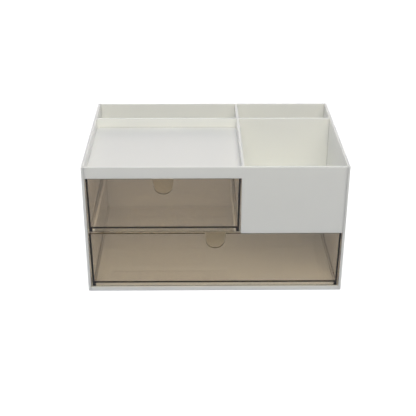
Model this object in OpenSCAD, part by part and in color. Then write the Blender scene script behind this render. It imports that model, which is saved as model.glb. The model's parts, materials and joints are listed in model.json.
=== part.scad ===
// Desk organizer: a moulded casing with a shallow top tray, a deep pen bin and two
// rear slots, over one short and one full-width smoked drawer. Millimetres, +Z up.
// Origin: the middle of the footprint, on the surface the foot pads stand on. Front faces -Y.

/* [Casing] */
// Overall width, left to right
case_w = 260; // [220:1:320]
// Overall depth, front to back
case_d = 178; // [160:1:230]
// Overall height, foot pads included
case_h = 140; // [125:1:180]
// Thickness of the side and rear panels
side_t = 2.7; // [2:0.1:3.5]
// Thickness of the front frame, the partition and the long divider
inner_t = 2.5; // [2:0.1:3.5]
// Radius along the outer upright corners
corner_r = 1; // [0.5:0.1:1.8]
// Radius along the bottom edges of the front and back
foot_edge_r = 1.5; // [0.5:0.1:1.8]

/* [Top compartments] */
// Width of the bin block, from the partition to the outside of the right side
bin_block_w = 104.7; // [80:0.1:130]
// Depth of the tray below the rim
tray_depth = 10.3; // [6:0.1:20]
// Thickness of the tray deck
deck_t = 1.9; // [1.5:0.1:3]
// Front-to-back space inside the rear slots
slot_d = 43.3; // [25:0.1:60]
// Height of the underside of the bin and slot floors above the desk
split_z = 67.5; // [60:0.5:80]
// Thickness of the bin and slot floors
floor_t = 2; // [1.5:0.1:3]

/* [Base and runners] */
// Height of the base's front edge
base_lip_h = 4.7; // [4:0.1:8]
// Thickness of the plate between the base's ribs
base_plate_t = 2.2; // [1.5:0.1:3]
// Thickness of the ribs under the base
base_rib_t = 1.6; // [1.2:0.1:2.5]
// How far each upper runner stands out from its wall
runner_w = 6.6; // [5:0.1:10]
// Thickness of each upper runner
runner_t = 1.6; // [1.2:0.1:2]

/* [Drawers] */
// How far the drawer fronts sit behind the casing's front
front_recess = 1.5; // [0.5:0.1:4]
// Thickness of a drawer's front
front_t = 2; // [1.5:0.1:3]
// Thickness of a drawer's side and back walls
drawer_wall_t = 1.8; // [1.2:0.1:2.2]
// Thickness of a drawer's floor
drawer_floor_t = 1.9; // [1.2:0.1:2.2]
// How far each drawer side leans in from its top to the floor
draft = 0.7; // [0:0.1:1.2]
// Width of the two rails under a drawer
rail_w = 3; // [2:0.1:5]
// Height of the two rails under a drawer
rail_h = 3.3; // [2.5:0.1:5]
// Gap between a drawer front and the opening at each side
front_gap = 0.5; // [0.4:0.1:0.8]
// Running clearance under the rails
run_gap = 0.4; // [0.3:0.1:0.8]
// Space left behind each closed drawer
back_gap = 1.8; // [1:0.1:10]
// How far a drawer's walls stop short of its front's top edge
wall_drop = 0.4; // [0:0.1:4]

/* [Finger notches] */
// Width of a notch at the drawer's top edge
notch_w = 21; // [14:0.5:30]
// Depth of a notch
notch_depth = 16.6; // [12:0.1:24]
// Radius of a notch's round bottom
notch_r = 9.5; // [6:0.1:11.5]

/* [Foot pads] */
// Diameter of a foot pad
pad_d = 12; // [8:0.5:16]
// How far a pad stands out below the casing
pad_proud = 0.5; // [0.3:0.1:1]
// Thickness of a foot pad
pad_t = 1.6; // [1.2:0.1:2]
// Distance from the casing's sides to a pad's centre
pad_inset = 16; // [14:0.5:30]

/* [Hidden] */
$fn = 48;
// overcut past a face, so a cut goes clean through
cut = 1;

left_x = -case_w / 2;
right_x = case_w / 2;
front_y = -case_d / 2;
back_y = case_d / 2;
in_left_x = left_x + side_t;
in_right_x = right_x - side_t;
in_front_y = front_y + inner_t;
in_back_y = back_y - side_t;
bottom_z = pad_proud;

// the partition between the drawer bay and the bin
part_x0 = right_x - bin_block_w;
part_x1 = part_x0 + inner_t;
// the long divider in front of the rear slots
div_y1 = in_back_y - slot_d;
div_y0 = div_y1 - inner_t;
// the tray deck, whose underside is level with the front band's lower edge
deck_z1 = case_h - tray_depth;
deck_z0 = deck_z1 - deck_t;
floor_z1 = split_z + floor_t;
// half the height of the partition and the divider, where they lap across each other
lap_z = (split_z + case_h) / 2;

base_z1 = bottom_z + base_lip_h;
base_rib_z1 = base_z1 - base_plate_t;
// the ribs under the base stop this far above its skirt's lower edge
rib_lift = 0.4;
// how far the runners rise above the bin floor's underside
runner_rise = 1;
// clearance between the lower drawer and the runners above it
runner_clear = 0.4;

// lower drawer
low_z0 = base_z1 + run_gap;
low_floor_z0 = low_z0 + rail_h;
runner_z1 = split_z + runner_rise;
runner_z0 = runner_z1 - runner_t;
low_z1 = runner_z0 - runner_clear;
low_x0 = in_left_x + front_gap;
low_x1 = in_right_x - front_gap;
low_y1 = in_back_y - back_gap;

// upper drawer
up_z0 = runner_z1 + run_gap;
up_floor_z0 = up_z0 + rail_h;
// gap between the upper drawer's front and the band above it
up_top_gap = 0.85;
up_z1 = deck_z0 - up_top_gap;
up_x0 = in_left_x + front_gap;
up_x1 = part_x0 - front_gap;
up_y1 = div_y0 - back_gap;

drawer_y0 = front_y + front_recess;
drawer_y1 = drawer_y0 + front_t;
// how far a drawer front stands out past its side walls, at their top
flange = 0.4;
// radius at the corners of a drawer front
front_corner_r = 0.8;
// the runners start this far behind the drawer fronts
runner_y0 = drawer_y1 + 0.6;

pad_x = case_w / 2 - pad_inset;
pad_y = case_d / 2 - pad_inset;
boss_d = pad_d + 4;

shell_colour = [0.78, 0.78, 0.76];
smoke_colour = [0.36, 0.31, 0.25, 0.6];
rubber_colour = [0.2, 0.2, 0.2];

// A box between two opposite corners.
module block(x0, y0, z0, x1, y1, z1)
{
    translate([x0, y0, z0])
        cube([x1 - x0, y1 - y0, z1 - z0]);
}

// Outline of the whole casing seen from the side, in Y and Z, round at the two lower corners.
module side_outline()
{
    r = foot_edge_r;
    translate([front_y, bottom_z + r])
        square([case_d, case_h - bottom_z - r]);
    translate([front_y + r, bottom_z])
        square([case_d - 2 * r, r + cut]);
    translate([front_y + r, bottom_z + r])
        circle(r);
    translate([back_y - r, bottom_z + r])
        circle(r);
}

// The side outline as a solid between two X positions.
module side_slab(x0, x1)
{
    translate([x0, 0, 0])
        rotate([90, 0, 90])
            linear_extrude(height = x1 - x0)
                side_outline();
}

// Footprint of the left side panel, round at its two outer corners.
module side_footprint()
{
    r = corner_r;
    translate([left_x + r, front_y])
        square([side_t - r, case_d]);
    translate([left_x, front_y + r])
        square([side_t, case_d - 2 * r]);
    translate([left_x + r, front_y + r])
        circle(r);
    translate([left_x + r, back_y - r])
        circle(r);
}

// Left side panel, full depth and height.
module left_side()
{
    color(shell_colour)
        intersection()
        {
            side_slab(left_x, in_left_x);
            linear_extrude(height = case_h)
                side_footprint();
        }
}

// Right side panel, the left one mirrored.
module right_side()
{
    mirror([1, 0, 0])
        left_side();
}

// Rear panel between the two sides.
module rear_panel()
{
    color(shell_colour)
        intersection()
        {
            side_slab(in_left_x, in_right_x);
            block(in_left_x, in_back_y, 0, in_right_x, back_y, case_h);
        }
}

// L-shaped front: the band over the upper drawer and the wall in front of the bin.
module front_frame()
{
    color(shell_colour)
        difference()
        {
            block(in_left_x, front_y, split_z, in_right_x, in_front_y, case_h);
            block(in_left_x - cut, front_y - cut, split_z - cut,
                part_x0, in_front_y + cut, deck_z0);
        }
}

// Upright wall between the drawer bay and the bin, lapped over the long divider.
module partition()
{
    color(shell_colour)
        difference()
        {
            block(part_x0, in_front_y, split_z, part_x1, in_back_y, case_h);
            block(part_x0 - cut, div_y0, lap_z, part_x1 + cut, div_y1, case_h + cut);
        }
}

// Wall across the whole width in front of the rear slots, lapped into the partition.
module long_divider()
{
    color(shell_colour)
        difference()
        {
            block(in_left_x, div_y0, split_z, in_right_x, div_y1, case_h);
            block(part_x0, div_y0 - cut, split_z - cut, part_x1, div_y1 + cut, lap_z);
        }
}

// Floor of the shallow tray and roof of the upper drawer's bay.
module tray_deck()
{
    color(shell_colour)
        block(in_left_x, in_front_y, deck_z0, part_x0, div_y0, deck_z1);
}

// Floor of the deep bin.
module bin_floor()
{
    color(shell_colour)
        block(part_x1, in_front_y, split_z, in_right_x, div_y0, floor_z1);
}

// Floor of the rear slot on the left.
module left_slot_floor()
{
    color(shell_colour)
        block(in_left_x, div_y1, split_z, part_x0, in_back_y, floor_z1);
}

// Floor of the rear slot on the right.
module right_slot_floor()
{
    color(shell_colour)
        block(part_x1, div_y1, split_z, in_right_x, in_back_y, floor_z1);
}

// Round boss over each foot pad.
module pad_bosses()
{
    for (sx = [-1, 1])
        for (sy = [-1, 1])
            translate([sx * pad_x, sy * pad_y, pad_t])
                cylinder(h = base_rib_z1 - pad_t, d = boss_d);
}

// Base plate with a skirt, two lengthwise ribs, three cross ribs and the pad bosses below.
module base()
{
    rib_x0 = in_left_x + inner_t;
    rib_x1 = in_right_x - inner_t;
    rib_y0 = front_y + inner_t;
    rib_y1 = in_back_y - inner_t;
    rib_z0 = bottom_z + rib_lift;
    color(shell_colour)
    {
        difference()
        {
            intersection()
            {
                side_slab(in_left_x, in_right_x);
                block(in_left_x, front_y, 0, in_right_x, in_back_y, base_z1);
            }
            block(rib_x0, rib_y0, -cut, rib_x1, rib_y1, base_rib_z1);
        }
        for (t = [1 / 3, 2 / 3])
            translate([0, rib_y0 + t * (rib_y1 - rib_y0), 0])
                block(rib_x0, -base_rib_t / 2, rib_z0, rib_x1, base_rib_t / 2, base_rib_z1);
        for (t = [1 / 4, 1 / 2, 3 / 4])
            translate([rib_x0 + t * (rib_x1 - rib_x0), 0, 0])
                block(-base_rib_t / 2, rib_y0, rib_z0, base_rib_t / 2, rib_y1, base_rib_z1);
        pad_bosses();
    }
}

// Runner on the left side for the upper drawer's left rail.
module left_runner()
{
    color(shell_colour)
        block(in_left_x, runner_y0, runner_z0, in_left_x + runner_w, div_y0, runner_z1);
}

// Runner on the partition's lower edge for the upper drawer's right rail.
module right_runner()
{
    color(shell_colour)
        block(part_x0 - runner_w, runner_y0, runner_z0, part_x0, div_y0, runner_z1);
}

// U-shaped outline of a finger notch, open upward, with its rim level at zero.
module notch_outline()
{
    side_y = notch_r - notch_depth;
    polygon([[-notch_w / 2, cut], [notch_w / 2, cut], [notch_w / 2, 0],
        [notch_r, side_y], [-notch_r, side_y], [-notch_w / 2, 0]]);
    translate([0, side_y])
        circle(notch_r);
}

// Flat front of a drawer, standing proud of its walls, with the finger notch in its top edge.
module drawer_front(x0, x1, z0, z1)
{
    edge_r = front_corner_r;
    translate([0, drawer_y1, 0])
        rotate([90, 0, 0])
            linear_extrude(height = front_t)
                difference()
                {
                    union()
                    {
                        translate([x0, z0 + edge_r])
                            square([x1 - x0, z1 - z0 - 2 * edge_r]);
                        translate([x0 + edge_r, z0])
                            square([x1 - x0 - 2 * edge_r, z1 - z0]);
                        for (x = [x0 + edge_r, x1 - edge_r])
                            for (z = [z0 + edge_r, z1 - edge_r])
                                translate([x, z])
                                    circle(edge_r);
                    }
                    translate([(x0 + x1) / 2, z1])
                        notch_outline();
                }
}

// Closed cross-section of a drawer in X and Z, leaning in by the draft towards its floor.
module drawer_section(x0, x1, z0, z1)
{
    polygon([[x0 + draft, z0], [x1 - draft, z0], [x1, z1], [x0, z1]]);
}

// One-piece drawer: front, floor, two leaning sides, back wall and two rails below,
// open at the top.
module drawer(x0, x1, z0, floor_z0, z1, y1)
{
    wx0 = x0 + flange;
    wx1 = x1 - flange;
    top_z = z1 - wall_drop;
    in_z0 = floor_z0 + drawer_floor_t;
    in_draft = draft * drawer_floor_t / (top_z - floor_z0);
    drawer_front(x0, x1, z0, z1);
    difference()
    {
        translate([0, y1, 0])
            rotate([90, 0, 0])
                linear_extrude(height = y1 - drawer_y1)
                    drawer_section(wx0, wx1, floor_z0, top_z);
        translate([0, y1 - drawer_wall_t, 0])
            rotate([90, 0, 0])
                linear_extrude(height = y1 - drawer_wall_t - drawer_y1)
                    polygon([[wx0 + drawer_wall_t + draft - in_draft, in_z0],
                        [wx1 - drawer_wall_t - draft + in_draft, in_z0],
                        [wx1 - drawer_wall_t, top_z],
                        [wx1 - drawer_wall_t, top_z + cut],
                        [wx0 + drawer_wall_t, top_z + cut],
                        [wx0 + drawer_wall_t, top_z]]);
    }
    block(wx0 + draft, drawer_y1, z0, wx0 + draft + rail_w, y1, floor_z0);
    block(wx1 - draft - rail_w, drawer_y1, z0, wx1 - draft, y1, floor_z0);
}

// Short drawer under the tray, running on the two runners.
module upper_drawer()
{
    color(smoke_colour)
        drawer(up_x0, up_x1, up_z0, up_floor_z0, up_z1, up_y1);
}

// Full-width drawer at the bottom, running on the base.
module lower_drawer()
{
    color(smoke_colour)
        drawer(low_x0, low_x1, low_z0, low_floor_z0, low_z1, low_y1);
}

// Four round foot pads on the base's bosses.
module foot_pads()
{
    color(rubber_colour)
        for (sx = [-1, 1])
            for (sy = [-1, 1])
                translate([sx * pad_x, sy * pad_y, 0])
                    cylinder(h = pad_t, d = pad_d);
}

left_side();
right_side();
rear_panel();
front_frame();
partition();
long_divider();
tray_deck();
bin_floor();
left_slot_floor();
right_slot_floor();
base();
left_runner();
right_runner();
upper_drawer();
lower_drawer();
foot_pads();
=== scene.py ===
"""Desk organizer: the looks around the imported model, laid out as an add-on and run as a script.

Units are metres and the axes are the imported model's: +X right, -Y towards the drawer
fronts, +Z up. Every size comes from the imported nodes' boxes or from a property below.
"""

import json
import math

import bpy
import numpy as np
from bpy.props import FloatProperty, FloatVectorProperty, PointerProperty, StringProperty
from mathutils import Matrix, Vector

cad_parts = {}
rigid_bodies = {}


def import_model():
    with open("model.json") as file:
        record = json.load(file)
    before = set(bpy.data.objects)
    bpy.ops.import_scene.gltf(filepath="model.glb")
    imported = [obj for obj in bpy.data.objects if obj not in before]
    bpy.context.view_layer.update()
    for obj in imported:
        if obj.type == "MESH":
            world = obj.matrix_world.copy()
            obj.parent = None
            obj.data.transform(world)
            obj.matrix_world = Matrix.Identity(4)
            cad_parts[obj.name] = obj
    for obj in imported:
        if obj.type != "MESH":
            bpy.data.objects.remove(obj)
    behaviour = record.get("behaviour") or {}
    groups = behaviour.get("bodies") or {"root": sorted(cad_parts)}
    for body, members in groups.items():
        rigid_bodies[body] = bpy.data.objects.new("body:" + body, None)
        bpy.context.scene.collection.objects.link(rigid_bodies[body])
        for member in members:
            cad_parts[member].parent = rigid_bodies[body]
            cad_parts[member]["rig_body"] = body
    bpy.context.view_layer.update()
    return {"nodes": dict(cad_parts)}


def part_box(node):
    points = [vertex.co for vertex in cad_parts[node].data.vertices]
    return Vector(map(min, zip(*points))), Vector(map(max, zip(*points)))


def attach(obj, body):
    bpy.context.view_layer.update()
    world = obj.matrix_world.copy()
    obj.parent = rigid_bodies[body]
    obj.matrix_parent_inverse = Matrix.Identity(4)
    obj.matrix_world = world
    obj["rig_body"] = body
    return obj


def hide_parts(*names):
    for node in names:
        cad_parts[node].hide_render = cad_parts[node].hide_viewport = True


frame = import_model()

bl_info = {
    "name": "Desk Organizer",
    "version": (1, 0, 0),
    "blender": (4, 5, 0),
    "location": "3D View > Sidebar > Organizer",
    "description": "Builds a moulded desk organizer with two smoked drawers",
    "category": "Object",
}

MM = 0.001
# the plane of an outline for each thickness axis, in right-handed order
PLANE_AXES = {"x": (1, 2, 0), "y": (2, 0, 1), "z": (0, 1, 2)}
# an outline side this close to a joint's plane lies on it
TOUCH = 0.02 * MM
# two sides whose normals have a smaller cross product are one straight line
STRAIGHT = 1e-6
# a side faces along an axis where its normal's share of that axis is larger than this
FACING = 0.9
# a moulding's edge is rounded where its faces turn by more than this
EDGE_ANGLE = math.radians(50)
NEUTRAL = (1, 1, 1, 1)


# ------------------------------------------------------------------ settings


class ShellSettings(bpy.types.PropertyGroup):
    """Sizes and colours of the moulded casing."""

    colour: StringProperty(
        name="Casing colour", description="sRGB hex colour of the casing", default="F4F4F1"
    )
    roughness: FloatProperty(
        name="Roughness", description="Roughness of the satin moulding", default=0.42, min=0, max=1
    )
    edge: FloatProperty(
        name="Edge radius",
        description="Radius along the free edges of every panel",
        default=0.45 * MM,
        unit="LENGTH",
    )
    foot_edge: FloatProperty(
        name="Lower edge radius",
        description="Radius of the casing's lower front and rear edges",
        default=1.5 * MM,
        unit="LENGTH",
    )
    scatter: FloatProperty(
        name="Scatter length",
        description="How far light travels in the white plastic between two scatterings",
        default=1.5 * MM,
        unit="LENGTH",
    )
    grain: FloatProperty(
        name="Grain size",
        description="Width of one pit of the spark-eroded mould texture",
        default=0.4 * MM,
        unit="LENGTH",
    )
    runner_nose: FloatProperty(
        name="Runner corner",
        description="Radius of each runner's free front corner",
        default=1.2 * MM,
        unit="LENGTH",
    )
    pad_radius: FloatProperty(
        name="Pad radius", description="Radius of a foot pad", default=6 * MM, unit="LENGTH"
    )
    pad_edge: FloatProperty(
        name="Pad edge radius", description="Radius along a pad's two rims", default=0.4 * MM, unit="LENGTH"
    )


class DrawerSettings(bpy.types.PropertyGroup):
    """Sizes and optics of the smoked drawers."""

    wall: FloatProperty(
        name="Wall",
        description="Thickness of the side and back walls",
        default=1.8 * MM,
        unit="LENGTH",
    )
    floor: FloatProperty(
        name="Floor", description="Thickness of the floor", default=1.9 * MM, unit="LENGTH"
    )
    front: FloatProperty(
        name="Front", description="Thickness of the front", default=2.0 * MM, unit="LENGTH"
    )
    draft: FloatProperty(
        name="Draft",
        description="How far each side leans in at the floor",
        default=0.7 * MM,
        unit="LENGTH",
    )
    rail_width: FloatProperty(
        name="Rail width", description="Width of the two rails", default=3.0 * MM, unit="LENGTH"
    )
    rail_height: FloatProperty(
        name="Rail height", description="Height of the two rails", default=3.3 * MM, unit="LENGTH"
    )
    flange: FloatProperty(
        name="Flange",
        description="How far the front stands out past the walls",
        default=0.4 * MM,
        unit="LENGTH",
    )
    wall_drop: FloatProperty(
        name="Wall drop",
        description="How far the walls stop below the front's top",
        default=0.4 * MM,
        unit="LENGTH",
    )
    notch_width: FloatProperty(
        name="Notch width",
        description="Width of the finger notch at its rim",
        default=21 * MM,
        unit="LENGTH",
    )
    notch_depth: FloatProperty(
        name="Notch depth", description="Depth of the finger notch", default=16.6 * MM, unit="LENGTH"
    )
    notch_radius: FloatProperty(
        name="Notch radius",
        description="Radius of the notch's round bottom",
        default=9.5 * MM,
        unit="LENGTH",
    )
    edge: FloatProperty(
        name="Edge radius",
        description="Radius along the moulding's edges",
        default=0.19 * MM,
        unit="LENGTH",
    )
    tint: StringProperty(
        name="Smoke tint",
        description="sRGB hex colour that the absorption lets through",
        default="D3B060",
    )
    density: FloatProperty(
        name="Smoke density", description="Absorption per metre of plastic", default=95.0, min=0
    )
    ior: FloatProperty(name="IOR", description="Refractive index", default=1.59, min=1, max=2.5)
    haze: FloatProperty(
        name="Haze",
        description="Share of the light that each surface scatters instead of letting through",
        default=0.025,
        min=0,
        max=1,
    )
    sink: FloatProperty(
        name="Sink spacing",
        description="Distance between the shallow waves left as the moulding cools",
        default=22 * MM,
        unit="LENGTH",
    )


class StageSettings(bpy.types.PropertyGroup):
    """Floor, lights and camera."""

    floor_colour: StringProperty(
        name="Floor colour", description="sRGB hex colour of the floor", default="F7F6F4"
    )
    sweep: FloatProperty(
        name="Floor radius", description="Radius of the flat part of the floor", default=1.8, unit="LENGTH"
    )
    floor_glow: FloatProperty(
        name="Floor glow", description="Light given off by the pale floor", default=0.6, min=0
    )
    sweep_glow: FloatProperty(
        name="Sweep glow", description="Light given off by the sweep behind the floor", default=0.9, min=0
    )
    sky_colour: StringProperty(
        name="Room light colour", description="sRGB hex colour of the even room light", default="E6ECFF"
    )
    sky: FloatProperty(
        name="Room light", description="Strength of the even room light", default=0.335, min=0
    )
    front_colour: StringProperty(
        name="Front light colour", description="sRGB hex colour of the front softbox", default="FFFAE2"
    )
    front: FloatProperty(
        name="Front light", description="Watts of the large front softbox", default=24.4, min=0
    )
    front_place: FloatVectorProperty(
        name="Front light place",
        description="Middle of the front softbox",
        default=(0.15, -1.55, 1.65),
        subtype="TRANSLATION",
    )
    front_side: FloatProperty(
        name="Front light size", description="Side of the front softbox", default=1.6, unit="LENGTH"
    )
    back: FloatProperty(
        name="Rear light", description="Watts of the low rear softbox", default=10.0, min=0
    )
    back_place: FloatVectorProperty(
        name="Rear light place",
        description="Middle of the rear softbox",
        default=(0.0, 2.0, 0.6),
        subtype="TRANSLATION",
    )
    back_side: FloatProperty(
        name="Rear light size", description="Side of the rear softbox", default=1.4, unit="LENGTH"
    )
    top_colour: StringProperty(
        name="Top light colour", description="sRGB hex colour of the overhead softbox", default="BCD4FF"
    )
    top: FloatProperty(
        name="Top light", description="Watts of the overhead softbox", default=3.6, min=0
    )
    top_place: FloatVectorProperty(
        name="Top light place",
        description="Middle of the overhead softbox",
        default=(0.0, 0.3, 2.2),
        subtype="TRANSLATION",
    )
    top_side: FloatProperty(
        name="Top light size", description="Side of the overhead softbox", default=1.2, unit="LENGTH"
    )
    fill_colour: StringProperty(
        name="Fill light colour",
        description="sRGB hex colour of the rear and side softboxes",
        default="FFF4E4",
    )
    fill: FloatProperty(
        name="Fill light", description="Watts of each softbox at the sides", default=9.0, min=0
    )
    fill_place: FloatVectorProperty(
        name="Fill light place",
        description="Middle of the right-hand fill softbox; the left-hand one mirrors it",
        default=(2.0, 0.3, 0.22),
        subtype="TRANSLATION",
    )
    fill_side: FloatProperty(
        name="Fill light size", description="Side of each fill softbox", default=1.2, unit="LENGTH"
    )
    aim: FloatVectorProperty(
        name="Light aim",
        description="The point every softbox faces",
        default=(0.0, 0.0, 0.07),
        subtype="TRANSLATION",
    )
    lens: FloatProperty(
        name="Lens", description="Focal length in millimetres", default=76.08, min=10
    )
    eye: FloatVectorProperty(
        name="Camera place",
        description="Where the camera stands",
        default=(-0.01905, -0.8602, 0.48632),
        subtype="TRANSLATION",
    )
    angles: FloatVectorProperty(
        name="Camera angles",
        description="Pitch down, turn to the right and roll",
        default=(math.radians(26.837), math.radians(0.860), math.radians(0.206)),
        subtype="EULER",
    )


# ------------------------------------------------------------------ helpers


def linear(hex_colour):
    """An sRGB hex colour as linear RGBA."""
    s = np.array([int(hex_colour[i : i + 2], 16) / 255 for i in (0, 2, 4)])
    lin = np.where(s <= 0.04045, s / 12.92, ((s + 0.055) / 1.055) ** 2.4)
    return (*map(float, lin), 1.0)


def add_node(tree, kind, values=None, links=None, **settings):
    """Adds one shader node with its settings, socket values and incoming links."""
    made = tree.nodes.new(kind)
    for key, value in settings.items():
        setattr(made, key, value)
    for key, value in (values or {}).items():
        made.inputs[key].default_value = value
    for key, (source, output) in (links or {}).items():
        tree.links.new(source.outputs[output], made.inputs[key])
    return made


def new_material(name):
    """An empty node material and its tree."""
    made = bpy.data.materials.new(name)
    made.use_nodes = True
    made.node_tree.nodes.clear()
    return made, made.node_tree


def new_piece(name, points, faces, material, node):
    """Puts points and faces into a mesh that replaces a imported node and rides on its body."""
    mesh = bpy.data.meshes.new(name)
    mesh.from_pydata(points.tolist(), [], faces)
    mesh.validate()
    mesh.update()
    mesh.materials.append(material)
    piece = bpy.data.objects.new(name, mesh)
    bpy.context.scene.collection.objects.link(piece)
    body = frame["nodes"][node]["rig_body"]
    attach(piece, body)
    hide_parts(node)
    return piece


def finish_node(node, material):
    """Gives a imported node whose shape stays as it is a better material."""
    for row in frame["nodes"][node].material_slots:
        row.material = material


def grid_faces(rows, around):
    """Quads between neighbouring rows of a grid that closes on itself around, facing outwards."""
    index = np.arange(rows * around).reshape(rows, around)
    near, far = index[:-1], index[1:]
    return np.stack([near, np.roll(near, -1, 1), np.roll(far, -1, 1), far], -1).reshape(-1, 4)


def quarter_round(place, edge, steps):
    """Rings of (place, draw-in) that round a rim: place + edge * (1 - cos t), |edge| * (1 - sin t).

    A negative edge rounds the far rim, and an edge of 0 leaves the rim sharp.
    """
    if edge == 0:
        return np.array([[place, 0.0]])
    t = np.linspace(0, math.pi / 2, steps + 1)
    return np.stack([place + edge * (1 - np.cos(t)), abs(edge) * (1 - np.sin(t))], 1)


def joined(parts):
    """Joins (points, faces) pairs into one pair, the faces of each moved past the points before."""
    counts = np.cumsum([0] + [len(p) for p, _ in parts])
    points = np.concatenate([p for p, _ in parts])
    faces = [[i + int(start) for i in f] for (_, fs), start in zip(parts, counts) for f in fs]
    return points, faces


def rounded_outline(corners, radii, steps=6):
    """Closed outline whose corner k is an arc of radius radii[k].

    The arc touches both sides at radius / tan(half the corner's angle) from the corner, and its
    points are centre + radius * (cos, sin) between the two touching points' bearings.
    A radius of 0 keeps the corner.
    """
    corners = np.asarray(corners, float)
    before = np.roll(corners, 1, 0) - corners
    after = np.roll(corners, -1, 0) - corners
    before /= np.linalg.norm(before, axis=1)[:, None]
    after /= np.linalg.norm(after, axis=1)[:, None]
    out = []
    for c, b, a, r in zip(corners, before, after, radii):
        if r <= 0:
            out.append(c[None])
            continue
        half = math.acos(float(np.clip(a @ b, -1, 1))) / 2
        centre = c + (a + b) / np.linalg.norm(a + b) * r / math.sin(half)
        start = c + b * r / math.tan(half) - centre
        end = c + a * r / math.tan(half) - centre
        t = np.linspace(0, 1, steps + 1)[:, None]
        arc = start * (1 - t) + end * t
        arc *= r / np.linalg.norm(arc, axis=1)[:, None]
        out.append(centre + arc)
    return np.concatenate(out)


def plate(outline, axis, low, high, edge_low, edge_high, joints=(), steps=4):
    """A flat panel: a closed outline carried along its thickness axis, with rounded rims.

    At each end the outline is drawn in by edge * (1 - sin t) while it moves edge * (1 - cos t)
    along the axis, t from 0 to a right angle, which is a quarter round. Outline sides that lie
    on one of the joints, given as (axis number, place), aren't drawn in, so panels that meet
    there leave no groove. Each corner moves by the vector whose dot product with both its
    sides' outward normals is minus their own draw-in.
    """
    u, v, w = PLANE_AXES[axis]
    outline = np.asarray(outline, float)
    turn = outline[:, 0] * np.roll(outline[:, 1], -1) - outline[:, 1] * np.roll(outline[:, 0], -1)
    if turn.sum() < 0:
        outline = outline[::-1]
    side = np.roll(outline, -1, 0) - outline
    normal = np.stack([side[:, 1], -side[:, 0]], 1) / np.linalg.norm(side, axis=1)[:, None]
    middle = (outline + np.roll(outline, -1, 0)) / 2
    soft = np.ones(len(outline))
    for number, place in joints:
        if number in (u, v):
            column = 0 if number == u else 1
            on_it = np.abs(middle[:, column] - place) < TOUCH
            soft[on_it & (np.abs(normal[:, column]) > FACING)] = 0
    n1, n2 = np.roll(normal, 1, 0), normal
    s1, s2 = np.roll(soft, 1), soft
    det = n1[:, 0] * n2[:, 1] - n1[:, 1] * n2[:, 0]
    straight = np.abs(det) < STRAIGHT
    across = s2 * n1[:, 1] - s1 * n2[:, 1]
    along = s1 * n2[:, 0] - s2 * n1[:, 0]
    inward = np.stack([across, along], 1) / np.where(straight, 1, det)[:, None]
    inward[straight] = -(n1 * s1[:, None])[straight]
    low_rim = quarter_round(low, edge_low, steps)
    high_rim = quarter_round(high, -edge_high, steps)[::-1]
    rings = np.concatenate([low_rim, high_rim])
    count = len(outline)
    points = np.zeros((len(rings), count, 3))
    flat = outline[None] + inward[None] * rings[:, 1, None, None]
    points[:, :, u] = flat[:, :, 0]
    points[:, :, v] = flat[:, :, 1]
    points[:, :, w] = rings[:, 0, None]
    ends = [list(range(count))[::-1], list(range((len(rings) - 1) * count, len(rings) * count))]
    return points.reshape(-1, 3), grid_faces(len(rings), count).tolist() + ends


def turned(profile, centre, steps=48):
    """A solid of revolution: (radius, height) points turned about the upright line at centre.

    Point (k, a) is centre + (r_k cos a, r_k sin a, z_k). The first and last profile points lie
    on the axis and become single poles.
    """
    profile = np.asarray(profile, float)
    angle = np.arange(steps) * 2 * math.pi / steps
    ring = profile[1:-1]
    grid = np.stack(
        [
            ring[:, 0, None] * np.cos(angle),
            ring[:, 0, None] * np.sin(angle),
            np.repeat(ring[:, 1, None], steps, 1),
        ],
        -1,
    )
    poles = np.array([[0, 0, profile[0, 1]], [0, 0, profile[-1, 1]]])
    points = np.concatenate([grid.reshape(-1, 3), poles]) + np.array([centre[0], centre[1], 0])
    index = np.arange(len(ring) * steps).reshape(-1, steps)
    first, last = len(points) - 2, len(points) - 1
    fan_low = np.stack([np.full(steps, first), np.roll(index[0], -1), index[0]], 1)
    fan_high = np.stack([np.full(steps, last), index[-1], np.roll(index[-1], -1)], 1)
    return points, grid_faces(len(ring), steps).tolist() + fan_low.tolist() + fan_high.tolist()


def cell_shell(place, filled):
    """The skin of the filled cells of a bent grid.

    place is (nx, ny, nz, 3), the point of every grid crossing, and filled is one smaller each
    way. A face is kept where a filled cell meets an empty one, and is wound to face the empty
    side, so the skin is closed.
    """
    nx, ny, nz, _ = place.shape
    number = np.arange(nx * ny * nz).reshape(nx, ny, nz)
    faces = []
    for axis in range(3):
        pad = [(0, 0)] * 3
        pad[axis] = (1, 1)
        solid = np.pad(filled, pad)
        below = np.take(solid, range(solid.shape[axis] - 1), axis)
        above = np.take(solid, range(1, solid.shape[axis]), axis)
        b, c = (axis + 1) % 3, (axis + 2) % 3
        moved = np.moveaxis(number, (axis, b, c), (0, 1, 2))
        quad = np.stack([moved[:, :-1, :-1], moved[:, 1:, :-1], moved[:, 1:, 1:], moved[:, :-1, 1:]], -1)
        below = np.moveaxis(below, (axis, b, c), (0, 1, 2))
        above = np.moveaxis(above, (axis, b, c), (0, 1, 2))
        faces.append(quad[below & ~above])
        faces.append(quad[~below & above][:, ::-1])
    faces = np.concatenate(faces)
    used, packed = np.unique(faces, return_inverse=True)
    return place.reshape(-1, 3)[used], packed.reshape(-1, 4).tolist()


# ------------------------------------------------------------------ materials


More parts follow.
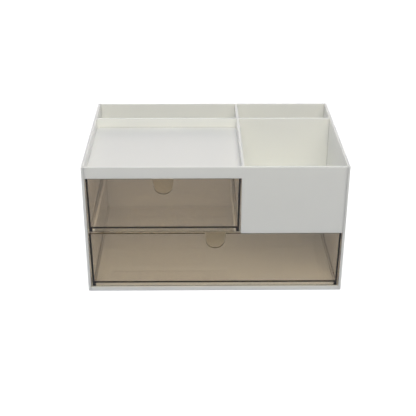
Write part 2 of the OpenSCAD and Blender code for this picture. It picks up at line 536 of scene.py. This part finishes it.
def satin_abs():
    """Injection-moulded ABS, off-white, with the fine matt texture of a spark-eroded mould.

    It gives the eye a soft sheen with no sharp reflections, a barely seen grain close up and a
    very slight drift of tone over hand-sized areas.
    """
    found = bpy.data.materials.get("satin_moulded_abs")
    if found:
        return found
    s = bpy.context.scene.organizer_shell
    made, tree = new_material("satin_moulded_abs")
    base = linear(s.colour)
    place = add_node(tree, "ShaderNodeTexCoord")
    # drift of the melt's tone over about 60 mm
    drift = add_node(
        tree, "ShaderNodeTexNoise", {"Scale": 1 / (60 * MM), "Detail": 2.0}, {"Vector": (place, "Object")}
    )
    low = tuple(c * 0.985 for c in base[:3]) + (1.0,)
    high = tuple(min(1.0, c * 1.01) for c in base[:3]) + (1.0,)
    tone = add_node(tree, "ShaderNodeMix", {6: low, 7: high}, {0: (drift, "Fac")}, data_type="RGBA")
    # spark-eroded pits, one noise cell per pit
    pits = add_node(
        tree, "ShaderNodeTexNoise", {"Scale": 1 / s.grain, "Detail": 1.0}, {"Vector": (place, "Object")}
    )
    rough = add_node(
        tree,
        "ShaderNodeMapRange",
        {"To Min": s.roughness - 0.04, "To Max": s.roughness + 0.04},
        {"Value": (pits, "Fac")},
    )
    bump = add_node(
        tree, "ShaderNodeBump", {"Strength": 0.12, "Distance": 0.02 * MM}, {"Height": (pits, "Fac")}
    )
    shader = add_node(
        tree,
        "ShaderNodeBsdfPrincipled",
        {
            "IOR": 1.53,
            "Subsurface Weight": 1.0,
            "Subsurface Radius": (1.0, 1.0, 1.0),
            "Subsurface Scale": s.scatter,
        },
        {"Base Color": (tone, 2), "Roughness": (rough, "Result"), "Normal": (bump, "Normal")},
    )
    add_node(tree, "ShaderNodeOutputMaterial", links={"Surface": (shader, "BSDF")})
    return made


def smoked_polystyrene():
    """Crystal polystyrene with a brown-grey smoke tint, moulded in a polished tool.

    Thin walls look lightly tinted, and an edge or a rib seen end on looks black, because the
    light travels a long way inside it. A faint surface haze greys the fronts a little, so a
    finger notch reads as a clearer patch.
    """
    found = bpy.data.materials.get("smoked_clear_polystyrene")
    if found:
        return found
    s = bpy.context.scene.organizer_drawer
    made, tree = new_material("smoked_clear_polystyrene")
    place = add_node(tree, "ShaderNodeTexCoord")
    # shallow sink waves of the cooling moulding
    waves = add_node(
        tree, "ShaderNodeTexNoise", {"Scale": 1 / s.sink, "Detail": 1.0}, {"Vector": (place, "Object")}
    )
    # fine wipe marks left in the polish of the tool
    wipes = add_node(
        tree, "ShaderNodeTexNoise", {"Scale": 1 / (3 * MM), "Detail": 2.0}, {"Vector": (place, "Object")}
    )
    polish = add_node(
        tree, "ShaderNodeMapRange", {"To Min": 0.0, "To Max": 0.03}, {"Value": (wipes, "Fac")}
    )
    bump = add_node(
        tree, "ShaderNodeBump", {"Strength": 0.5, "Distance": 0.05 * MM}, {"Height": (waves, "Fac")}
    )
    shader = add_node(
        tree,
        "ShaderNodeBsdfPrincipled",
        {"Base Color": NEUTRAL, "IOR": s.ior, "Transmission Weight": 1 - s.haze},
        {"Roughness": (polish, "Result"), "Normal": (bump, "Normal")},
    )
    smoke = add_node(tree, "ShaderNodeVolumeAbsorption", {"Color": linear(s.tint), "Density": s.density})
    add_node(
        tree, "ShaderNodeOutputMaterial", links={"Surface": (shader, "BSDF"), "Volume": (smoke, "Volume")}
    )
    return made


def pad_rubber():
    """Moulded synthetic rubber, dark grey and dull, with a fine pebbled skin."""
    found = bpy.data.materials.get("moulded_pad_rubber")
    if found:
        return found
    made, tree = new_material("moulded_pad_rubber")
    place = add_node(tree, "ShaderNodeTexCoord")
    pebble = add_node(
        tree, "ShaderNodeTexNoise", {"Scale": 1 / (0.8 * MM), "Detail": 2.0}, {"Vector": (place, "Object")}
    )
    tone = add_node(
        tree,
        "ShaderNodeMix",
        {6: linear("2A2A2A"), 7: linear("3A3A39")},
        {0: (pebble, "Fac")},
        data_type="RGBA",
    )
    bump = add_node(
        tree, "ShaderNodeBump", {"Strength": 0.3, "Distance": 0.05 * MM}, {"Height": (pebble, "Fac")}
    )
    shader = add_node(
        tree,
        "ShaderNodeBsdfPrincipled",
        {"IOR": 1.5, "Roughness": 0.75},
        {"Base Color": (tone, 2), "Normal": (bump, "Normal")},
    )
    add_node(tree, "ShaderNodeOutputMaterial", links={"Surface": (shader, "BSDF")})
    return made


def matt_paper(name, glow):
    """Uncoated background paper: dead matt with a fine tooth, and bright enough to stay pale."""
    made, tree = new_material(name)
    place = add_node(tree, "ShaderNodeTexCoord")
    scale = {"Scale": 1 / (2 * MM), "Detail": 2.0}
    tooth = add_node(tree, "ShaderNodeTexNoise", scale, {"Vector": (place, "Object")})
    rough = add_node(
        tree, "ShaderNodeMapRange", {"To Min": 0.85, "To Max": 0.95}, {"Value": (tooth, "Fac")}
    )
    shader = add_node(
        tree,
        "ShaderNodeBsdfPrincipled",
        {
            "Base Color": linear(bpy.context.scene.organizer_stage.floor_colour),
            "Specular IOR Level": 0.0,
            "Emission Color": NEUTRAL,
            "Emission Strength": glow,
        },
        {"Roughness": (rough, "Result")},
    )
    add_node(tree, "ShaderNodeOutputMaterial", links={"Surface": (shader, "BSDF")})
    return made


# ------------------------------------------------------------------ casing


def rectangle(u0, v0, u1, v1):
    """Corners of a rectangle, anticlockwise."""
    return [(u0, v0), (u1, v0), (u1, v1), (u0, v1)]


class ORGANIZER_OT_sides(bpy.types.Operator):
    """Build the left and right side panels"""

    bl_idname = "organizer.sides"
    bl_label = "Side panels"

    def execute(self, context):
        s = context.scene.organizer_shell
        for node in ("left_side", "right_side"):
            lo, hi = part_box(node)
            outline = rounded_outline(
                rectangle(lo.y, lo.z, hi.y, hi.z), [s.foot_edge, s.foot_edge, s.edge, s.edge]
            )
            outer_low = node == "left_side"
            points, faces = plate(
                outline,
                "x",
                lo.x,
                hi.x,
                2 * s.edge if outer_low else 0,
                0 if outer_low else 2 * s.edge,
            )
            new_piece(node + "_panel", points, faces, satin_abs(), node)
        return {"FINISHED"}


class ORGANIZER_OT_front(bpy.types.Operator):
    """Build the L-shaped front: the band over the short drawer and the bin's front wall"""

    bl_idname = "organizer.front"
    bl_label = "Front frame"

    def execute(self, context):
        s = context.scene.organizer_shell
        lo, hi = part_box("front_frame")
        band_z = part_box("tray_deck")[0].z
        step_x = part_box("partition")[0].x
        # outline in Z and X
        corners = [
            (lo.z, step_x),
            (lo.z, hi.x),
            (hi.z, hi.x),
            (hi.z, lo.x),
            (band_z, lo.x),
            (band_z, step_x),
        ]
        joints = [(0, lo.x), (0, hi.x)]
        points, faces = plate(corners, "y", lo.y, hi.y, s.edge, s.edge, joints)
        new_piece("front_frame_panel", points, faces, satin_abs(), "front_frame")
        return {"FINISHED"}


class ORGANIZER_OT_dividers(bpy.types.Operator):
    """Build the partition, the long divider and the rear panel"""

    bl_idname = "organizer.dividers"
    bl_label = "Dividers and rear panel"

    def execute(self, context):
        s = context.scene.organizer_shell
        lo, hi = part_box("partition")
        dlo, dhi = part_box("long_divider")
        lap = (lo.z + hi.z) / 2
        corners = [
            (lo.y, lo.z),
            (hi.y, lo.z),
            (hi.y, hi.z),
            (dhi.y, hi.z),
            (dhi.y, lap),
            (dlo.y, lap),
            (dlo.y, hi.z),
            (lo.y, hi.z),
        ]
        joints = [(1, lo.y), (1, hi.y), (1, dlo.y), (1, dhi.y)]
        points, faces = plate(corners, "x", lo.x, hi.x, s.edge, s.edge, joints)
        new_piece("partition_panel", points, faces, satin_abs(), "partition")

        corners = [
            (dlo.z, dlo.x),
            (dhi.z, dlo.x),
            (dhi.z, dhi.x),
            (dlo.z, dhi.x),
            (dlo.z, hi.x),
            (lap, hi.x),
            (lap, lo.x),
            (dlo.z, lo.x),
        ]
        joints = [(0, dlo.x), (0, dhi.x), (0, lo.x), (0, hi.x), (2, lap)]
        points, faces = plate(corners, "y", dlo.y, dhi.y, s.edge, s.edge, joints)
        new_piece("long_divider_panel", points, faces, satin_abs(), "long_divider")

        lo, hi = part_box("rear_panel")
        joints = [(0, lo.x), (0, hi.x)]
        corners = rectangle(lo.z, lo.x, hi.z, hi.x)
        points, faces = plate(corners, "y", lo.y, hi.y, s.edge, 2 * s.edge, joints)
        new_piece("rear_panel_wall", points, faces, satin_abs(), "rear_panel")
        return {"FINISHED"}


class ORGANIZER_OT_floors(bpy.types.Operator):
    """Build the tray deck, the bin floor, the two slot floors and the two runners"""

    bl_idname = "organizer.floors"
    bl_label = "Deck, floors and runners"

    def execute(self, context):
        s = context.scene.organizer_shell
        for node in ("tray_deck", "bin_floor", "left_slot_floor", "right_slot_floor"):
            finish_node(node, satin_abs())
        for node in ("left_runner", "right_runner"):
            lo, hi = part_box(node)
            wall_x = lo.x if node == "left_runner" else hi.x
            free_low = s.runner_nose if node == "right_runner" else 0
            free_high = s.runner_nose if node == "left_runner" else 0
            outline = rounded_outline(
                rectangle(lo.x, lo.y, hi.x, hi.y), [free_low, free_high, 0, 0]
            )
            joints = [(0, wall_x), (1, hi.y)]
            points, faces = plate(outline, "z", lo.z, hi.z, s.edge, s.edge, joints)
            new_piece(node + "_ledge", points, faces, satin_abs(), node)
        return {"FINISHED"}


class ORGANIZER_OT_base(bpy.types.Operator):
    """Build the base with its skirt, ribs and pad bosses, and the four foot pads"""

    bl_idname = "organizer.base"
    bl_label = "Base and foot pads"

    def execute(self, context):
        s = context.scene.organizer_shell
        finish_node("base", satin_abs())
        lo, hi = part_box("foot_pads")
        radius, soft = s.pad_radius, s.pad_edge
        t = np.linspace(0, math.pi / 2, 5)
        lower = np.stack([radius - soft + soft * np.sin(t), lo.z + soft - soft * np.cos(t)], 1)
        upper = np.stack([radius - soft + soft * np.cos(t), hi.z - soft + soft * np.sin(t)], 1)
        profile = np.concatenate([[[0, lo.z]], lower, upper, [[0, hi.z]]])
        parts = [
            turned(profile, (x, y))
            for x in (lo.x + radius, hi.x - radius)
            for y in (lo.y + radius, hi.y - radius)
        ]
        points, faces = joined(parts)
        new_piece("rubber_foot_pads", points, faces, pad_rubber(), "foot_pads")
        return {"FINISHED"}


# ------------------------------------------------------------------ drawers


def drawer_surface(node, s):
    """Points and faces of one drawer as a single closed moulding.

    A grid of planes across X, Y and Z is bent so that the side walls lean in by the draft towards
    the floor, and so that, in the front, the rows above the floor are squeezed under the notch:
    a column at x has its top at the notch's curve, which is a tapered side, then
    rim - depth + radius - radius * sin(acos(x / radius)).
    """
    lo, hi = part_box(node)
    y = np.array([lo.y, lo.y + s.front, hi.y - s.wall, hi.y])
    floor_low = lo.z + s.rail_height
    floor_high = floor_low + s.floor
    wall_top = hi.z - s.wall_drop
    z = np.array([lo.z, floor_low, floor_high, wall_top, hi.z])
    outer = lo.x + s.flange
    left = np.array([lo.x, outer, outer + s.wall, outer + s.rail_width + s.draft])
    middle = (lo.x + hi.x) / 2
    angle = np.linspace(math.pi, 2 * math.pi, 25)
    arc_x = s.notch_radius * np.cos(angle)
    arc_z = s.notch_radius - s.notch_depth + s.notch_radius * np.sin(angle)
    notch_x = np.concatenate([[-s.notch_width / 2], arc_x, [s.notch_width / 2]]) + middle
    notch_z = np.concatenate([[0], arc_z, [0]]) + hi.z
    right = (lo.x + hi.x) - left[::-1]
    x = np.concatenate([left, notch_x, right])
    top = np.concatenate([np.full(4, hi.z), notch_z, np.full(4, hi.z)])
    nx = len(x)

    gx, gy, gz = np.meshgrid(x, y, z, indexing="ij")
    place = np.stack([gx, gy, gz], -1)
    share = np.clip((wall_top - place[..., 2]) / (wall_top - floor_low), 0, 1)
    for i, sign in ((1, 1), (2, 1), (nx - 3, -1), (nx - 2, -1)):
        place[i, ..., 0] += sign * s.draft * share[i]
    squeeze = (top - floor_high) / (hi.z - floor_high)
    above = place[:, :2, 2:, 2] - floor_high
    place[:, :2, 2:, 2] = floor_high + above * squeeze[:, None, None]

    filled = np.zeros((nx - 1, 3, 4), bool)
    filled[:, 0, :] = True
    filled[1:-1, 1:, 1] = True
    for a in (1, 2, nx - 4, nx - 3):
        filled[a, 1:, 0] = True
    for a in (1, nx - 3):
        filled[a, 1, 2] = True
    filled[1:-1, 2, 2] = True
    return cell_shell(place, filled)


def soften(piece, width):
    """Rounds a moulding's edges with a Bevel, and leaves its shallow bends alone."""
    bevel = piece.modifiers.new("edge radius", "BEVEL")
    bevel.width = width
    bevel.segments = 2
    bevel.limit_method = "ANGLE"
    bevel.angle_limit = EDGE_ANGLE
    bevel.use_clamp_overlap = False
    bevel.miter_outer = "MITER_SHARP"


class ORGANIZER_OT_drawers(bpy.types.Operator):
    """Build the short and the full-width drawer, each one closed smoked moulding"""

    bl_idname = "organizer.drawers"
    bl_label = "Drawers"

    def execute(self, context):
        s = context.scene.organizer_drawer
        for node in ("upper_drawer", "lower_drawer"):
            points, faces = drawer_surface(node, s)
            piece = new_piece(node + "_moulding", points, faces, smoked_polystyrene(), node)
            soften(piece, s.edge)
        return {"FINISHED"}


# ------------------------------------------------------------------ stage


def swept_paper(profile, steps=64):
    """A sheet turned about Z: point (k, a) is (r_k cos a, r_k sin a, z_k), facing up and inwards."""
    angle = np.arange(steps) * 2 * math.pi / steps
    radius, height = profile[:, :1], profile[:, 1:]
    points = np.stack([radius * np.cos(angle), radius * np.sin(angle), height + 0 * angle], -1)
    return points.reshape(-1, 3), grid_faces(len(profile), steps)[:, ::-1].tolist()


class ORGANIZER_OT_stage(bpy.types.Operator):
    """Build the pale floor and sweep, the soft lights and the camera"""

    bl_idname = "organizer.stage"
    bl_label = "Stage"

    def execute(self, context):
        s = context.scene.organizer_stage
        scene = context.scene
        # the floor runs up into a round sweep, so that no horizon shows from any side; the paper
        # gives the object no bounce light and no mirror image
        bend_radius, wall_height = s.sweep / 2, s.sweep * 2
        bend = np.linspace(0, math.pi / 2, 17)
        cove = np.stack([s.sweep + bend_radius * np.sin(bend), bend_radius * (1 - np.cos(bend))], 1)
        flat = np.array([[0, 0], [s.sweep / 2, 0], [s.sweep, 0]])
        wall = np.concatenate([cove, [[s.sweep + bend_radius, wall_height]]])
        for name, profile, glow in (
            ("studio_floor", flat, s.floor_glow),
            ("studio_backdrop", wall, s.sweep_glow),
        ):
            points, faces = swept_paper(profile)
            mesh = bpy.data.meshes.new(name)
            mesh.from_pydata(points.tolist(), [], faces)
            mesh.materials.append(matt_paper("pale_paper_" + name, glow))
            mesh.shade_smooth()
            paper = bpy.data.objects.new(name, mesh)
            scene.collection.objects.link(paper)
            paper.visible_glossy = False
            paper.visible_diffuse = False
            paper.visible_transmission = name == "studio_floor"

        world = bpy.data.worlds.new("even_room")
        world.use_nodes = True
        world.node_tree.nodes["Background"].inputs["Color"].default_value = linear(s.sky_colour)
        world.node_tree.nodes["Background"].inputs["Strength"].default_value = s.sky
        scene.world = world

        for name, place, side, watts, colour in (
            ("front_softbox", s.front_place, s.front_side, s.front, s.front_colour),
            ("top_softbox", s.top_place, s.top_side, s.top, s.top_colour),
            ("rear_softbox", s.back_place, s.back_side, s.back, s.fill_colour),
            ("right_softbox", s.fill_place, s.fill_side, s.fill, s.fill_colour),
            ("left_softbox", Vector(s.fill_place) * Vector((-1, 1, 1)), s.fill_side, s.fill, s.fill_colour),
        ):
            light = bpy.data.lights.new(name, "AREA")
            light.shape = "SQUARE"
            light.size = side
            light.energy = watts
            light.color = linear(colour)[:3]
            lamp = bpy.data.objects.new(name, light)
            turn = (Vector(place) - Vector(s.aim)).to_track_quat("Z", "Y").to_matrix().to_4x4()
            lamp.matrix_world = Matrix.Translation(place) @ turn
            scene.collection.objects.link(lamp)

        camera = bpy.data.cameras.new("studio_camera")
        camera.lens = s.lens
        camera.sensor_width = 36
        camera.clip_start = 0.05
        camera.clip_end = 20
        eye = bpy.data.objects.new("studio_camera", camera)
        pitch, turn, roll = s.angles
        forward = np.array(
            [math.sin(turn) * math.cos(pitch), math.cos(turn) * math.cos(pitch), -math.sin(pitch)]
        )
        right = np.array([math.cos(turn), -math.sin(turn), 0.0])
        up = np.cross(right, forward)
        across = math.cos(roll) * right + math.sin(roll) * up
        upward = -math.sin(roll) * right + math.cos(roll) * up
        matrix = np.eye(4)
        matrix[:3, 0], matrix[:3, 1], matrix[:3, 2], matrix[:3, 3] = across, upward, -forward, s.eye
        eye.matrix_world = Matrix(matrix.tolist())
        scene.collection.objects.link(eye)
        scene.camera = eye

        scene.view_settings.view_transform = "Standard"
        scene.view_settings.look = "None"
        scene.cycles.blur_glossy = 0.0
        scene.cycles.max_bounces = 24
        scene.cycles.diffuse_bounces = 8
        scene.cycles.glossy_bounces = 8
        scene.cycles.transmission_bounces = 24
        return {"FINISHED"}


# ------------------------------------------------------------------ add-on

STEPS = (
    ORGANIZER_OT_stage,
    ORGANIZER_OT_sides,
    ORGANIZER_OT_front,
    ORGANIZER_OT_dividers,
    ORGANIZER_OT_floors,
    ORGANIZER_OT_base,
    ORGANIZER_OT_drawers,
)


class ORGANIZER_PT_panel(bpy.types.Panel):
    """Lists the pieces of the organizer"""

    bl_idname = "ORGANIZER_PT_panel"
    bl_label = "Desk Organizer"
    bl_space_type = "VIEW_3D"
    bl_region_type = "UI"
    bl_category = "Organizer"

    def draw(self, context):
        for step in STEPS:
            self.layout.operator(step.bl_idname)
        for group in ("organizer_shell", "organizer_drawer", "organizer_stage"):
            settings = getattr(context.scene, group)
            box = self.layout.box()
            for key in settings.__annotations__:
                box.prop(settings, key)


GROUPS = (ShellSettings, DrawerSettings, StageSettings)


def register():
    """Registers the settings, the operators and the panel."""
    for item in (*GROUPS, *STEPS, ORGANIZER_PT_panel):
        bpy.utils.register_class(item)
    bpy.types.Scene.organizer_shell = PointerProperty(type=ShellSettings)
    bpy.types.Scene.organizer_drawer = PointerProperty(type=DrawerSettings)
    bpy.types.Scene.organizer_stage = PointerProperty(type=StageSettings)


def unregister():
    """Removes what register added."""
    del bpy.types.Scene.organizer_stage
    del bpy.types.Scene.organizer_drawer
    del bpy.types.Scene.organizer_shell
    for item in reversed((*GROUPS, *STEPS, ORGANIZER_PT_panel)):
        bpy.utils.unregister_class(item)


def main():
    """Registers the add-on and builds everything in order."""
    register()
    for step in STEPS:
        group, name = step.bl_idname.split(".")
        getattr(getattr(bpy.ops, group), name)()


if __name__ == "__main__":
    main()
